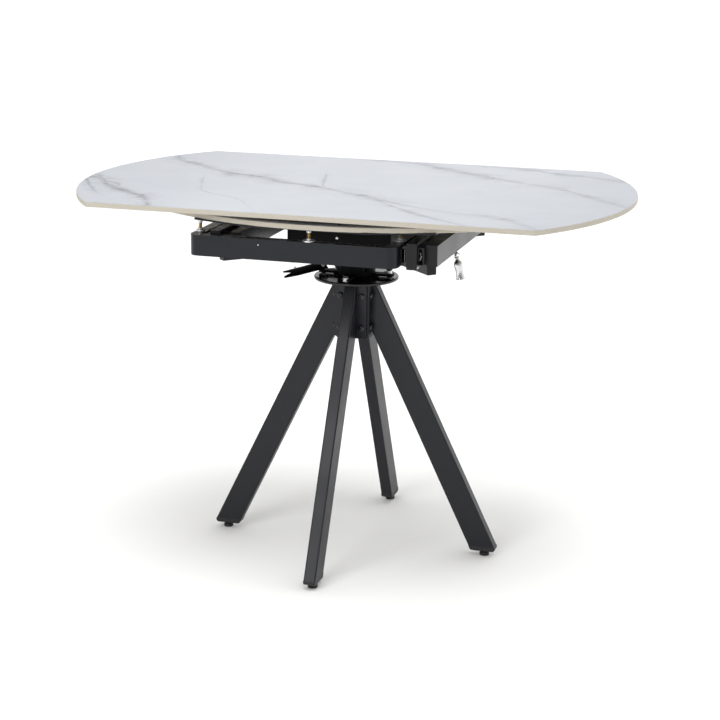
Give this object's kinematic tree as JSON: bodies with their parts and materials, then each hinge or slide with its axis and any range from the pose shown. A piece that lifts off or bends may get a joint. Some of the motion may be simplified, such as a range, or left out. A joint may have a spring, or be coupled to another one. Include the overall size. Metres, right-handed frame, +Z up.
{
  "type": "rotating extending dining table",
  "caption": "Dining table with a stone slab on a swivel frame and splayed legs; leaves stored under the slab slide out to make the top round.",
  "frame": {"origin": "floor under the middle of the slab, on the swivel axis", "axes": "+Z up, +X along the straight sides of the slab, -Y towards the front leaf"},
  "size_m": [1.126, 0.708, 0.76],
  "materials": {
    "sintered_stone": "matt pale stone with grey veins",
    "black_steel": "fine-textured black powder coat",
    "grey_plastic": "dark grey moulded plastic",
    "black_plastic": "black moulded plastic",
    "zinc_steel": "bright zinc plate",
    "yellow_zinc": "yellow zinc plate",
    "chrome": "polished chrome",
    "slide_steel": "blackened steel",
    "bronze": "sintered bronze"
  },
  "bodies": {
    "base": {"base_disc": "black_steel", "hub_post": "black_steel", "post_cap": "black_plastic", "leg_right": "black_steel", "leg_back": "black_steel", "leg_left": "black_steel", "leg_front": "black_steel", "leg_bolts": "black_steel", "leg_plugs": "black_plastic", "levelling_feet": "black_plastic", "spindle": "slide_steel", "spindle_nut": "zinc_steel"},
    "upper_frame": {"main_top": "sintered_stone", "top_mount_plate": "black_steel", "mount_screws": "zinc_steel", "centre_wall_right": "black_steel", "centre_wall_left": "black_steel", "centre_wall_front": "black_steel", "centre_wall_back": "black_steel", "rail_left": "black_steel", "rail_right": "black_steel", "rail_caps": "grey_plastic", "cross_arm_back_right": "black_steel", "cross_arm_back_left": "black_steel", "cross_arm_front_left": "black_steel", "cross_arm_front_right": "black_steel", "arm_caps": "grey_plastic", "turret": "black_steel", "turret_ribs": "black_steel", "thrust_washer": "black_plastic", "spindle_bushes": "bronze", "glide_screws": "zinc_steel", "plunger_sleeve": "chrome", "front_slide_outers": "slide_steel", "back_slide_outers": "slide_steel", "lever_post": "black_steel", "lever_pin": "zinc_steel", "pull_bracket": "black_steel"},
    "front_leaf_carriage": {"front_leaf": "sintered_stone", "front_leaf_plate": "black_steel", "front_u_tube": "black_steel", "front_u_caps": "grey_plastic", "front_leaf_studs": "yellow_zinc", "front_stud_nuts": "zinc_steel", "front_slide_inners": "slide_steel"},
    "back_leaf_carriage": {"back_leaf": "sintered_stone", "back_leaf_plate": "black_steel", "back_u_tube": "black_steel", "back_u_caps": "grey_plastic", "back_leaf_studs": "yellow_zinc", "back_stud_nuts": "zinc_steel", "back_slide_inners": "slide_steel"},
    "front_slide_middle": {"front_slide_middles": "slide_steel"},
    "back_slide_middle": {"back_slide_middles": "slide_steel"},
    "plunger": {"index_plunger": "chrome"},
    "lever": {"lock_lever": "black_steel"},
    "pull_pendant": {"pull_ring": "chrome", "pull_handle": "chrome"}
  },
  "joints": [
    {"name": "top_swivel", "type": "hinge", "parent": "base", "child": "upper_frame", "pos_m": [0, 0, 0.6], "axis": [0, 0, 1], "continuous": true},
    {"name": "front_leaf_slide", "type": "slide", "parent": "upper_frame", "child": "front_leaf_carriage", "axis": [0, -1, 0], "range_m": [0, 0.223]},
    {"name": "back_leaf_slide", "type": "slide", "parent": "upper_frame", "child": "back_leaf_carriage", "axis": [0, 1, 0], "range_m": [0, 0.223]},
    {"name": "front_slide_middle_travel", "type": "slide", "parent": "upper_frame", "child": "front_slide_middle", "axis": [0, -1, 0], "range_m": [0, 0.1115]},
    {"name": "back_slide_middle_travel", "type": "slide", "parent": "upper_frame", "child": "back_slide_middle", "axis": [0, 1, 0], "range_m": [0, 0.1115]},
    {"name": "plunger_lift", "type": "slide", "parent": "upper_frame", "child": "plunger", "axis": [0, 0, 1], "range_m": [0, 0.008], "stiffness_N_per_m": 300, "springref_m": -0.003},
    {"name": "lock_lever_lift", "type": "hinge", "parent": "upper_frame", "child": "lever", "pos_m": [-0.072, -0.003, 0.5935], "axis": [-0.515, 0.8572, 0], "range_deg": [0, 12], "stiffness_Nm_per_rad": 1, "springref_deg": -5.73},
    {"name": "pull_handle_swing", "type": "hinge", "parent": "upper_frame", "child": "pull_pendant", "pos_m": [0.224, -0.065, 0.65], "axis": [0, 1, 0], "range_deg": [-10, 30]}
  ],
  "couplings": [
    {"joint": "front_slide_middle_travel", "follows": "front_leaf_slide", "ratio": 0.5},
    {"joint": "back_slide_middle_travel", "follows": "back_leaf_slide", "ratio": 0.5}
  ]
}
